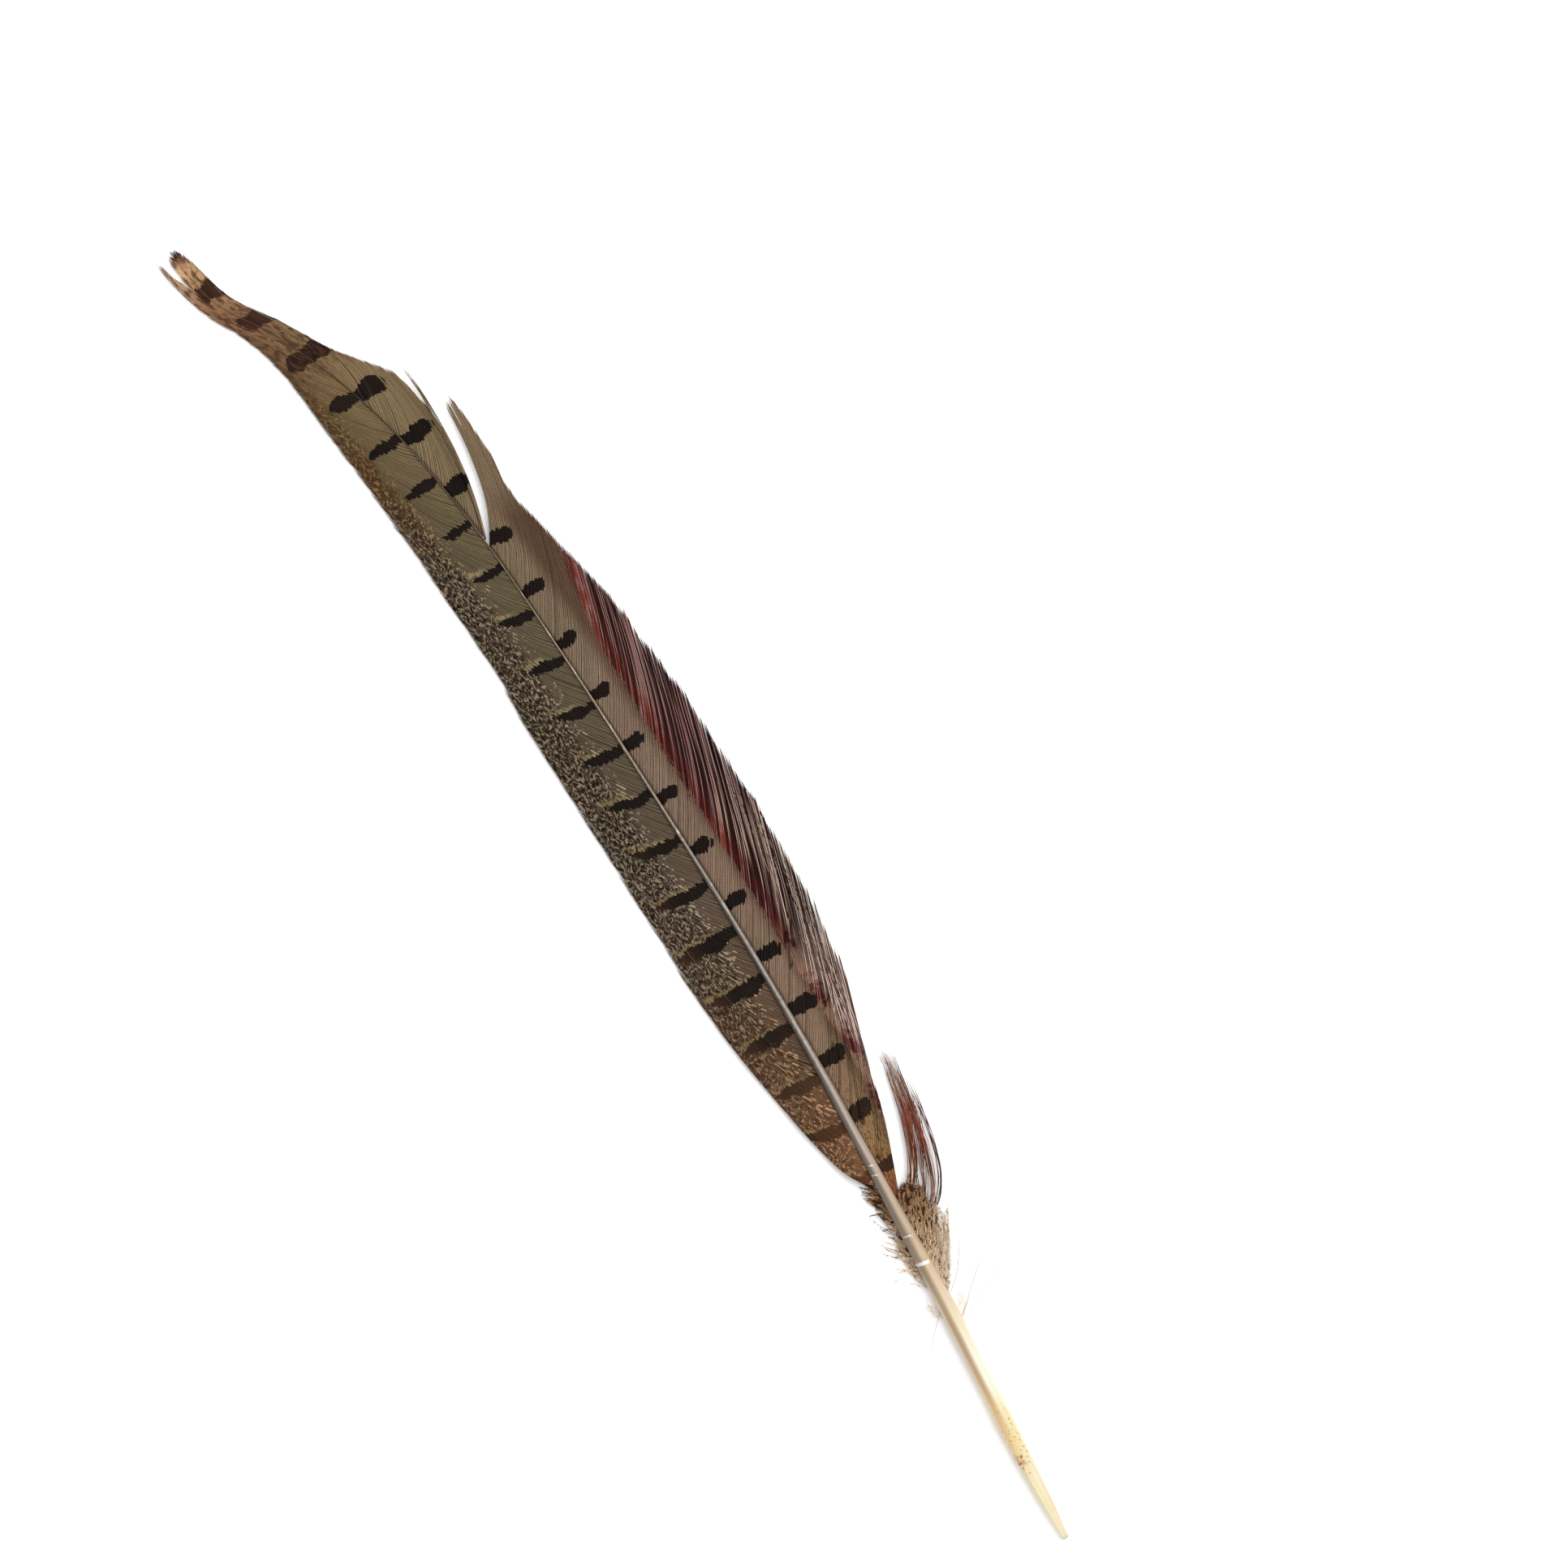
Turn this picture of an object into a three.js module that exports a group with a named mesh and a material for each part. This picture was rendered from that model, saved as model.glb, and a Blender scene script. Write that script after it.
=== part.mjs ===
// Tail feather of a pheasant, lying on a flat surface with its upper side showing.
// Frame: +Z up, +Y along the feather from the end of the quill to the tip, +X to its right.
// The origin is the middle of the feather's outline, on the surface that it lies on.
// All dimensions are millimetres. Tables give [y, value], y counted from the end of the quill.
import * as THREE from "three";

// Driving dimensions
const LENGTH = 281.4;
const GAP = 0.35; // between the side of the quill and the web beside it
const QUILL_SIDES = 12;
const QUILL_STEP = 5;
const WEB_STEP = 3;
const WEB_COLUMNS = 5;
const WEB_THICKNESS = 0.8;
const WEB_LEAST_TOP = 0.45;
const WEB_ROOT = 0.55; // how far up the quill's side the web's upper side meets it
const EDGE_TOP = 0.4; // height of the web's outer edge above the surface
const CROWN = 1.3; // how far a web of CROWN_WIDTH arches up between the quill and its edge
const CROWN_WIDTH = 13;
const DOWN_STEP = 3;
const DOWN_EDGE = 0.9; // thickness of the down where it ends

// Quill: calamus and rachis in one. Its centre line bends to the right, then back at the tip.
const CENTRE_X = [
  [0, 0],
  [14.6, 1.85],
  [29.2, 4.0],
  [44, 6.2],
  [55.4, 7.7],
  [68.6, 9.3],
  [81.7, 10.9],
  [94.8, 12.5],
  [116.7, 14.5],
  [138.6, 15.9],
  [165.7, 17.2],
  [187.3, 17.9],
  [205.6, 18.1],
  [219.4, 17.4],
  [231.7, 16.1],
  [244.7, 13.3],
  [255.0, 9.9],
  [260.3, 7.6],
  [268.2, 3.5],
  [275.2, 2.0],
  [LENGTH, 1.9],
];
const QUILL_WIDTH = [
  [0, 1.2],
  [5.8, 2.1],
  [11.7, 2.6],
  [23.3, 3.3],
  [29.2, 3.05],
  [43.8, 3.3],
  [55.4, 3.0],
  [61.3, 2.75],
  [68.6, 2.35],
  [81.7, 2.0],
  [87.5, 1.95],
  [102, 1.45],
  [110, 1.25],
  [124, 1.15],
  [146, 0.75],
  [175, 0.55],
  [190, 0.36],
  [205, 0.3],
  [LENGTH, 0.2],
];
const QUILL_HEIGHT = [
  [0, 1.1],
  [7.3, 2.1],
  [14.6, 2.6],
  [22, 3.1],
  [51, 3.0],
  [76, 2.5],
  [94.8, 2.0],
  [131, 1.4],
  [165, 0.95],
  [205, 0.65],
  [LENGTH, 0.35],
];
// Height of the quill's underside: it lies flat behind the web and bows up under it.
const QUILL_LIFT = [
  [0, 0.6],
  [14.6, 0.15],
  [22, 0],
  [66, 0],
  [110, 0.7],
  [160, 1.2],
  [210, 0.8],
  [255, 0.1],
  [LENGTH, 0.1],
];

// Webs and down: distance from the centre line to their inner and outer edges.
// An inner edge of 0 means that it follows the side of the quill.
const LEFT_WEB = {
  inner: [
    [71.2, 0],
    [274.3, 0],
    [277.2, 2.0],
    [280.1, 3.6],
  ],
  outer: [
    [71.2, 1.7],
    [74.4, 5.2],
    [77.2, 7.4],
    [81.6, 7.7],
    [87.5, 10.1],
    [94.8, 10.6],
    [102.1, 12.4],
    [116.7, 13.3],
    [128.2, 12.9],
    [173, 13.3],
    [183.7, 11.9],
    [204.3, 11.8],
    [218.9, 11.1],
    [233.4, 9.6],
    [243.4, 7.7],
    [250.5, 5.6],
    [262.8, 3.2],
    [274.3, 3.4],
    [280.1, 4.0],
  ],
};
const RIGHT_WEB = {
  inner: [
    [66.4, 0],
    [205, 0],
    [206.6, 1.6],
    [211.6, 4.2],
    [218.9, 6.8],
    [223.8, 8.4],
    [230.4, 11.3],
  ],
  outer: [
    [66.4, 2.4],
    [73.5, 4.7],
    [80.5, 6.2],
    [90.9, 8.3],
    [96.1, 10.7],
    [101.8, 12.2],
    [116, 14.0],
    [140, 15.5],
    [165, 14.9],
    [185, 13.4],
    [209, 9.0],
    [213.5, 9.2],
    [218.9, 10.7],
    [230.4, 11.8],
  ],
};
// Past the split in the right web, up to the tip.
const RIGHT_TIP_WEB = {
  inner: [
    [208, 0],
    [280.6, 0],
  ],
  outer: [
    [208, 1.0],
    [212.1, 3.2],
    [218.6, 4.7],
    [223.8, 6.2],
    [232.8, 7.6],
    [241, 7.9],
    [246, 5.6],
    [250.5, 3.9],
    [257.5, 3.1],
    [274.3, 2.6],
    [280.6, 0.8],
  ],
};
const LEFT_DOWN = {
  inner: [
    [41.4, 0],
    [68.5, 0],
  ],
  outer: [
    [41.4, 5.0],
    [50, 4.2],
    [60, 5.8],
    [66, 4.8],
    [68.5, 2.2],
  ],
  top: 3.2,
};
const RIGHT_DOWN = {
  inner: [
    [48.1, 0],
    [66, 0],
  ],
  outer: [
    [48.1, 2.1],
    [49.1, 3.4],
    [52.5, 5.6],
    [56.4, 7.4],
    [60, 7.8],
    [63, 7.4],
    [66, 4.6],
  ],
  top: 3.6,
};
// Barbs that stand clear of the web's lower end and of each other.
const RIGHT_LOOSE_BARBS = {
  inner: [
    [66.4, 3.2],
    [70.2, 5.0],
    [74, 7.4],
    [77.8, 8.7],
    [81.6, 9.9],
    [86.8, 11.0],
    [92, 11.6],
  ],
  outer: [
    [66.4, 9.0],
    [70.2, 10.4],
    [74, 12.0],
    [77.8, 13.0],
    [81.6, 13.2],
    [86.8, 13.0],
    [92, 12.6],
  ],
};

const HORN = new THREE.MeshStandardMaterial({ color: 0xb7a48a, roughness: 0.35, metalness: 0 });
const WEB = new THREE.MeshStandardMaterial({ color: 0x75664c, roughness: 0.8, metalness: 0 });
const DOWN = new THREE.MeshStandardMaterial({ color: 0xa89a86, roughness: 0.95, metalness: 0 });

// Value of a table at y, on straight lines between its points.
function at(table, y) {
  for (let i = 1; i < table.length; i += 1) {
    const [y0, value0] = table[i - 1];
    const [y1, value1] = table[i];
    if (y <= y1) return THREE.MathUtils.mapLinear(Math.max(y, y0), y0, y1, value0, value1);
  }
  return table[table.length - 1][1];
}

const centreLine = new THREE.SplineCurve(CENTRE_X.map(([y, x]) => new THREE.Vector2(x, y)));
const centrePoints = centreLine.getPoints(400).map((point) => [point.y, point.x]);

function centreX(y) {
  return at(centrePoints, y);
}

// Evenly spaced y from one end to the other, no further apart than step.
function stations(first, last, step) {
  const count = Math.ceil((last - first) / step);
  return Array.from({ length: count + 1 }, (_, i) => first + ((last - first) * i) / count);
}

// Closed body through equal rings of points. Each ring runs clockwise as seen from the end of
// the quill, and its two halves face each other, so that strips between them close the ends.
function loft(rings) {
  const size = rings[0].length;
  const positions = rings.flat().flatMap((point) => point.toArray());
  const index = [];
  const quad = (a, b, c, d) => index.push(a, b, c, a, c, d);
  for (let r = 0; r + 1 < rings.length; r += 1) {
    for (let i = 0; i < size; i += 1) {
      const next = (i + 1) % size;
      quad(r * size + i, r * size + next, (r + 1) * size + next, (r + 1) * size + i);
    }
  }
  const end = (rings.length - 1) * size;
  for (let i = 0; i + 1 < size / 2; i += 1) {
    const facing = size - 1 - i;
    quad(i, facing, facing - 1, i + 1);
    quad(end + i, end + i + 1, end + facing - 1, end + facing);
  }
  const geometry = new THREE.BufferGeometry();
  geometry.setAttribute("position", new THREE.Float32BufferAttribute(positions, 3));
  geometry.setIndex(index);
  geometry.computeVertexNormals();
  return geometry;
}

// Section of the quill: an ellipse of flat sides, one of them level underneath.
function quillRing(y) {
  const halfWidth = at(QUILL_WIDTH, y) / 2;
  const halfHeight = at(QUILL_HEIGHT, y) / 2;
  const turn = Math.PI / QUILL_SIDES;
  return Array.from({ length: QUILL_SIDES }, (_, i) => {
    const angle = Math.PI - turn - 2 * turn * i;
    const x = centreX(y) + (halfWidth * Math.cos(angle)) / Math.cos(turn);
    const z = at(QUILL_LIFT, y) + halfHeight * (1 + Math.sin(angle) / Math.cos(turn));
    return new THREE.Vector3(x, y, z);
  });
}

function quillSide(y) {
  return at(QUILL_WIDTH, y) / 2 + GAP;
}

// Height of a web's upper side, a share of the way from the quill to the web's edge.
function webTop(y, width, share) {
  const attached = at(QUILL_LIFT, y) + at(QUILL_HEIGHT, y) * WEB_ROOT;
  const crown = CROWN * (width / CROWN_WIDTH) * 4 * share * (1 - share);
  return Math.max(WEB_LEAST_TOP, attached * (1 - share) + EDGE_TOP * share + crown);
}

// Ring of a sheet: out over its upper side and back along its underside.
// side is 1 to the right of the quill and -1 to its left.
function sheetRing(shape, side, y, topAt, bottomAt) {
  const inner = Math.max(quillSide(y), at(shape.inner, y));
  const outer = Math.max(inner + 0.35, at(shape.outer, y));
  const upper = [];
  const lower = [];
  for (let i = 0; i <= WEB_COLUMNS; i += 1) {
    const out = inner + ((outer - inner) * i) / WEB_COLUMNS;
    const x = centreX(y) + side * out;
    const top = topAt(y, outer, out / outer);
    upper.push(new THREE.Vector3(x, y, top));
    lower.unshift(new THREE.Vector3(x, y, bottomAt(top)));
  }
  const ring = [...upper, ...lower];
  return side > 0 ? ring : ring.reverse();
}

function webGeometry(shape, side) {
  const bottom = (top) => Math.max(0, top - WEB_THICKNESS);
  const first = shape.outer[0][0];
  const last = shape.outer[shape.outer.length - 1][0];
  const rings = stations(first, last, WEB_STEP).map((y) => sheetRing(shape, side, y, webTop, bottom));
  return loft(rings);
}

// Down is a low tuft that reaches the surface all over and thins out to its edge.
function downGeometry(shape, side) {
  const topAt = (y, width, share) => shape.top - (shape.top - DOWN_EDGE) * share * share;
  const first = shape.outer[0][0];
  const last = shape.outer[shape.outer.length - 1][0];
  const rings = stations(first, last, DOWN_STEP).map((y) => sheetRing(shape, side, y, topAt, () => 0));
  return loft(rings);
}

function piece(name, geometry, material) {
  const mesh = new THREE.Mesh(geometry, material);
  mesh.name = name;
  return mesh;
}

const feather = new THREE.Group();
feather.add(piece("quill", loft(stations(0, LENGTH, QUILL_STEP).map(quillRing)), HORN));
feather.add(piece("left_web", webGeometry(LEFT_WEB, -1), WEB));
feather.add(piece("right_web", webGeometry(RIGHT_WEB, 1), WEB));
feather.add(piece("right_tip_web", webGeometry(RIGHT_TIP_WEB, 1), WEB));
feather.add(piece("right_loose_barbs", webGeometry(RIGHT_LOOSE_BARBS, 1), WEB));
feather.add(piece("left_down", downGeometry(LEFT_DOWN, -1), DOWN));
feather.add(piece("right_down", downGeometry(RIGHT_DOWN, 1), DOWN));

const middle = new THREE.Box3().setFromObject(feather).getCenter(new THREE.Vector3());
feather.position.set(-middle.x, -middle.y, 0);

export default feather;
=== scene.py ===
import math

import bpy
import numpy as np
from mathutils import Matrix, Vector


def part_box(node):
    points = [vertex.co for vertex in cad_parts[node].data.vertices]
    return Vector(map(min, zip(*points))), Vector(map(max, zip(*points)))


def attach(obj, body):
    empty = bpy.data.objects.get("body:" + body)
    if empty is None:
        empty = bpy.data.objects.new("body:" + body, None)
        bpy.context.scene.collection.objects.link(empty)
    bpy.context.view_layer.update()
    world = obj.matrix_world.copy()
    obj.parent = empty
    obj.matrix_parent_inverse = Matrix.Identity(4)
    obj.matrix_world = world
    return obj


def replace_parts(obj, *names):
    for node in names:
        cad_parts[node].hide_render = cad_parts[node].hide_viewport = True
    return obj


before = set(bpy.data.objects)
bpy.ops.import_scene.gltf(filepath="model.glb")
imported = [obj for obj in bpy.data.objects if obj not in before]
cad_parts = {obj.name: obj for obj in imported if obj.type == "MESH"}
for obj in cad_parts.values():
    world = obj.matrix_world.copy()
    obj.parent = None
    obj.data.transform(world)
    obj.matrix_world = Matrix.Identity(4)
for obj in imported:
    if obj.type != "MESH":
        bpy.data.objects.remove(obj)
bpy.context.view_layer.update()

MM = 0.001
LENGTH = 281.4
QUILL_END_HALF = 0.6
quill_low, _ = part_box("quill")
OFFSET_X = quill_low[0] / MM + QUILL_END_HALF
OFFSET_Y = quill_low[1] / MM

# -------- dimensions of the feather
# Tables give (y, value). The OUT tables are the webs' outlines.
CENTRE_X = [
    (0, 0), (14.6, 1.85), (29.2, 4.0), (44, 6.2), (55.4, 7.7), (68.6, 9.3), (81.7, 10.9),
    (94.8, 12.5), (116.7, 14.5), (138.6, 15.9), (165.7, 17.2), (187.3, 17.9), (205.6, 18.1),
    (219.4, 17.4), (231.7, 16.1), (244.7, 13.3), (255.0, 9.9), (260.3, 7.6), (268.2, 3.5),
    (275.2, 2.0), (LENGTH, 1.9),
]
QUILL_WIDTH = [
    (0, 1.2), (5.8, 2.1), (11.7, 2.6), (23.3, 3.3), (29.2, 3.05), (43.8, 3.3), (55.4, 3.0),
    (61.3, 2.75), (68.6, 2.35), (81.7, 2.0), (87.5, 1.95), (102, 1.45), (110, 1.25), (124, 1.15),
    (146, 0.75), (175, 0.55), (190, 0.36), (205, 0.3), (LENGTH, 0.2),
]
QUILL_HEIGHT = [
    (0, 1.1), (7.3, 2.1), (14.6, 2.6), (22, 3.1), (51, 3.0), (76, 2.5), (94.8, 2.0),
    (131, 1.4), (165, 0.95), (205, 0.65), (LENGTH, 0.35),
]
QUILL_LIFT = [
    (0, 0.6), (14.6, 0.15), (22, 0), (66, 0), (110, 0.7), (160, 1.2), (210, 0.8), (255, 0.1),
    (LENGTH, 0.1),
]
LEFT_OUT = [
    (71.2, 7.7), (81.6, 7.8), (87.5, 10.1), (94.8, 10.6), (102.1, 12.4), (116.7, 13.3),
    (128.2, 12.9), (173, 13.3), (183.7, 11.9), (204.3, 11.8), (218.9, 11.1), (233.4, 9.6),
    (243.4, 7.7), (250.5, 5.6), (262.8, 3.1), (269, 2.8), (274.3, 2.8), (280.1, 3.9),
]
RIGHT_OUT = [
    (66.4, 2.4), (73.5, 4.7), (80.5, 6.2), (90.9, 8.3), (96.1, 10.5), (101.8, 12.0),
    (116, 14.0), (140, 15.0), (165, 14.4), (185, 13.0), (209, 9.0), (213.5, 9.2),
    (218.9, 10.7), (230.4, 11.8),
]
RIGHT_TIP_OUT = [
    (208, 1.0), (212.1, 3.2), (218.6, 4.7), (223.8, 6.2), (232.8, 7.6), (241, 7.9), (246, 5.6),
    (250.5, 3.9), (257.5, 3.1), (272.7, 2.7), (275.4, 2.6), (278.2, 2.1), (280.1, 1.4),
    (281, 0.9),
]
EDGE_TOP = 0.4
CROWN = 1.3  # how far a web CROWN_WIDTH wide rises between shaft and edge
CROWN_WIDTH = 13
LEAST_TOP = 0.45
WEB_ROOT = 0.55  # how far up the quill's side a web meets it

# Barbs: the parallel branches that make a web.
BARB_PITCH = 0.5
BARB_POINTS = 24
PATH_STEP = 0.4
ROOT_SHARE = 0.3  # how far out a barb starts, over the shaft's width
RIDGE = 0.055  # half the thickness of a barb
OVERLAP = 1.2  # width of a barb over the room it has
LEAST_ROOM = 0.07
MOST_ROOM = 0.45
SHINGLE = -0.3  # slope of a barb across itself, down towards the tip
RELIEF_SHARE = [(70, 0.25), (98, 1.0)]  # how much of its ridge and slope a barb shows
# How unevenly barbs end, over how far out the web's edge is.
RAGGED_EDGE = [(70, 0.02), (90, 0.008), (240, 0.008), (256, 0.06), (281, 0.07)]
BARB_SECTION = [(-1.0, -0.5), (-0.3, 0.45), (0.0, 1.0), (0.35, 0.5), (1.0, 0.1), (0.0, -0.9)]
FIBRE_SECTION = [(-1.0, 0.0), (0.0, 1.0), (1.0, 0.0), (0.0, -1.0)]

# How barbs stray from their paths, and over how much of the shaft each stray goes to and fro.
ROOT_STRAY = 0.07
EDGE_STRAY, EDGE_WAVE = 0.012, 3.0
SWAY, SWAY_WAVE = 0.07, 1.7
GATHER_WAVE, FINE_GATHER_WAVE = 2.4, 0.9
LOOSENING = 3.0  # how far past loose_from a barb is wholly loose
LOOSE_STRAY = 0.12
LOOSE_SWAY, LOOSE_WAVE = 0.4, 1.3
LOOSE_LIFT = (-0.12, 0.4)
HEIGHT_STRAY = 0.02

# Barbs grow from first to last on the shaft. They leave it at the inner angle, bend to the outer
# one, and end at the outline or at end_y, less some fray. From loose_from outwards they aren't
# hooked together, and gather by bunching. A split is its root, how far it opens and how much of
# the shaft it moves; the fork is one of the tip only, from its last number on.
LEFT_WEB = dict(
    side=-1, first=71.2, last=278.5, outline=LEFT_OUT, longest=62.0, seed=21,
    inner_angle=[(71, 50), (75, 45), (82, 41), (125, 38), (215, 37), (232, 33), (244, 22),
                 (255, 12), (281, 8)],
    outer_angle=[(71, 22), (85, 14), (105, 8), (125, 5), (225, 6), (245, 5), (281, 4)],
    loose_from=[(71, 5), (80, 7), (90, 14), (240, 14), (256, 5), (263, 2.2), (281, 1.2)],
    end_y=[(71, 300), (250, 280.8), (263, 280.5), (265, 276.8), (268, 275.6), (270, 280.2),
           (281, 281.1)],
    fray=[(71, 1.8), (88, 0.9), (225, 0.5), (245, 0.9), (262, 1.2), (268, 0.7), (281, 0.5)],
    bunching=[(71, 0.5), (90, 0.3), (225, 0.3), (250, 0.25), (281, 0.2)],
    splits=[(170, 0.04, 2.0), (177, 0.06, 2.5), (183, 0.04, 1.6), (99, 0.05, 1.5)],
    fork=(267.3, 0.7, 6.0, 269.0),
)
RIGHT_WEB = dict(
    side=1, first=66.4, last=204.6, outline=RIGHT_OUT, longest=60.0, seed=31,
    inner_angle=[(66, 54), (70, 46), (76, 38), (84, 34), (281, 37)],
    outer_angle=[(66, 20), (90, 16), (120, 17), (200, 18), (231, 12)],
    loose_from=[(66, 5.2), (90, 6.2), (120, 7.0), (140, 8.6), (160, 10.2), (190, 11.0),
                (231, 10.5)],
    end_y=[(66, 300), (188, 300), (191, 232), (204.6, 230.8)],
    fray=[(66, 2.0), (140, 1.5), (190, 0.9), (231, 0.8)],
    bunching=[(66, 0.16), (100, 0.2), (140, 0.22), (190, 0.32), (231, 0.4)],
    splits=[(104, 0.06, 1.5), (131, 0.08, 1.6), (150, 0.06, 1.2), (176, 0.04, 1.6)],
)
RIGHT_TIP_WEB = dict(
    side=1, first=207.0, last=279.5, outline=RIGHT_TIP_OUT, longest=40.0, seed=41,
    inner_angle=[(200, 40), (210, 36), (222, 33), (234, 24), (242, 13), (250, 10), (281, 8)],
    outer_angle=[(200, 30), (210, 24), (216, 17), (225, 13), (233, 8), (240, 4), (281, 3)],
    loose_from=[(207, 2.8), (212, 4.8), (232, 6.6), (241, 6.4), (250, 3.4), (260, 2.0), (281, 0.6)],
    end_y=[(200, 281.1), (281, 281.1)],
    fray=[(207, 1.0), (230, 2.0), (250, 2.2), (262, 0.9), (281, 0.5)],
    bunching=[(207, 0.2), (240, 0.3), (262, 0.25), (281, 0.2)],
    splits=[(226, 0.03, 1.5), (243, 0.05, 1.2), (252, 0.06, 1.0)],
)


def at(points, y):
    """Value of a table at y."""
    return np.interp(y, *np.array(points, float).T)


def smoothstep(low, high, value):
    share = np.clip((value - low) / (high - low), 0, 1)
    return share * share * (3 - 2 * share)


def spline(points, per_span=24):
    """A dense table on the Catmull-Rom curve through the points of a table."""
    knots = np.array(points, float)
    padded = np.vstack([knots[0], knots, knots[-1]])
    t = np.linspace(0, 1, per_span, endpoint=False)[:, None]
    dense = []
    for a, b, c, d in zip(padded, padded[1:], padded[2:], padded[3:]):
        slope0 = (c - a) / 2
        slope1 = (d - b) / 2
        cubic = 2 * b - 2 * c + slope0 + slope1
        square = 3 * c - 3 * b - 2 * slope0 - slope1
        dense.append(cubic * t**3 + square * t**2 + slope0 * t + b)
    return np.vstack([*dense, knots[-1:]])


CENTRE_LINE = spline(CENTRE_X)


def centre_x(y):
    return np.interp(y, CENTRE_LINE[:, 0], CENTRE_LINE[:, 1])


def web_top(y, width, out):
    """Height of a web's surface: from the side of the shaft, over a low crown, to its edge."""
    share = np.clip(out / width, 0, 1.1)
    attached = at(QUILL_LIFT, y) + at(QUILL_HEIGHT, y) * WEB_ROOT
    crown = CROWN * (width / CROWN_WIDTH) * 4 * share * (1 - share)
    return np.maximum(LEAST_TOP, attached * (1 - share) + EDGE_TOP * share + crown)


def wander(values, wavelength, seed, steps=400):
    """Noise from -1 to 1 along values, in straight lines."""
    draws = np.random.default_rng(seed).uniform(-1, 1, steps)
    return np.interp(values / wavelength % (steps - 1), np.arange(steps), draws)


# -------- meshes
def add_object(name, data):
    """A new object in the scene."""
    made = bpy.data.objects.new(name, data)
    bpy.context.scene.collection.objects.link(made)
    return made


def add_piece(name, points, faces, material, attributes=(), bake_map=None):
    """A mesh from points (n, 3) in millimetres and faces (m, 4), riding on the feather's body."""
    place = points + np.array([OFFSET_X, OFFSET_Y, 0])
    mesh = bpy.data.meshes.new(name)
    mesh.vertices.add(len(place))
    mesh.vertices.foreach_set("co", (place * MM).ravel())
    mesh.loops.add(faces.size)
    mesh.loops.foreach_set("vertex_index", faces.ravel())
    mesh.polygons.add(len(faces))
    mesh.polygons.foreach_set("loop_start", np.arange(len(faces)) * faces.shape[1])
    mesh.update(calc_edges=True)
    mesh.validate()
    mesh.shade_smooth()
    for label, values in attributes:
        layer = mesh.attributes.new(label, "FLOAT_VECTOR", "POINT")
        layer.data.foreach_set("vector", values.astype(np.float32).ravel())
    if bake_map is not None:
        layer = mesh.uv_layers.new(name="OFBake")
        layer.uv.foreach_set("vector", bake_map[faces.ravel()].astype(np.float32).ravel())
    mesh.materials.append(material)
    piece = add_object(name, mesh)
    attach(piece, "root")
    return piece


def tube_faces(strands, rings, sides):
    """Faces of closed tubes, each of so many rings of so many sides, an even number."""
    strand = np.arange(strands)[:, None, None, None] * rings * sides
    ring = np.arange(rings - 1)[None, :, None, None] * sides
    side = np.arange(sides)[None, None, :, None]
    after = (side + 1) % sides
    corner = np.stack([side, after, after + sides, side + sides], axis=-1)[:, :, :, 0, :]
    walls = (strand + ring + corner).reshape(-1, 4)
    near = np.array([[i, sides - 1 - i, sides - 2 - i, i + 1] for i in range(sides // 2 - 1)])
    far = near[:, ::-1] + (rings - 1) * sides
    caps = np.vstack([near, far])
    ends = (np.arange(strands)[:, None, None] * rings * sides + caps).reshape(-1, 4)
    return np.vstack([walls, ends])


def strands(path, half, height, grown, roots, jitter, side, section=BARB_SECTION, tilt=0.0):
    """Closed strands about paths (strands, rings, 3), with what their material reads.

    grown is the out and y that each place had when the feather was whole (2, strands, rings).
    """
    count, rings = path.shape[:2]
    ahead = np.gradient(path, axis=1)
    along = np.cumsum(np.linalg.norm(np.diff(path, axis=1, prepend=path[:, :1]), axis=-1), axis=1)
    level = np.zeros_like(ahead[..., 0])
    across = side * np.stack([-ahead[..., 1], ahead[..., 0], level], axis=-1)
    across /= np.linalg.norm(across, axis=-1, keepdims=True) + 1e-9
    corners = []
    for out, up in section:
        corner = path + across * (half * out)[..., None]
        corner[..., 2] += height * up + tilt * half * out
        corners.append(corner)
    points = np.stack(corners, axis=2)
    faces = tube_faces(count, rings, len(section))
    if side > 0:
        faces = faces[:, ::-1]
    shape = points.shape[:3]
    profile = np.array([out for out, _ in section])[None, None, :]
    # Each strand has a row of the bake map to itself.
    rows = np.arange(count)[:, None, None] + 0.5 + 0.42 * profile
    share = np.linspace(0.01, 0.99, rings)[None, :, None]

    def at_points(*parts):
        spread = [np.broadcast_to(part, shape) for part in parts]
        return np.stack(spread, axis=-1).reshape(-1, len(parts))

    return dict(
        points=points.reshape(-1, 3),
        faces=faces,
        grow=at_points(grown[0][..., None], grown[1][..., None], jitter[:, None, None]),
        strand=at_points(along[..., None], roots[:, None, None], profile),
        bake=at_points(share, rows),
        count=count,
    )


def strand_piece(name, parts, material):
    """One piece of all the strands in parts."""
    faces, bake = [], []
    first_point = first_row = 0
    rows = sum(part["count"] for part in parts)
    for part in parts:
        faces.append(part["faces"] + first_point)
        bake.append((part["bake"] + [0, first_row]) / [1, rows])
        first_point += len(part["points"])
        first_row += part["count"]
    points, grow, strand = (
        np.vstack([part[key] for part in parts]) for key in ("points", "grow", "strand")
    )
    reads = [("grow", grow), ("strand", strand)]
    return add_piece(name, points, np.vstack(faces), material, reads, np.vstack(bake))


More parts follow.
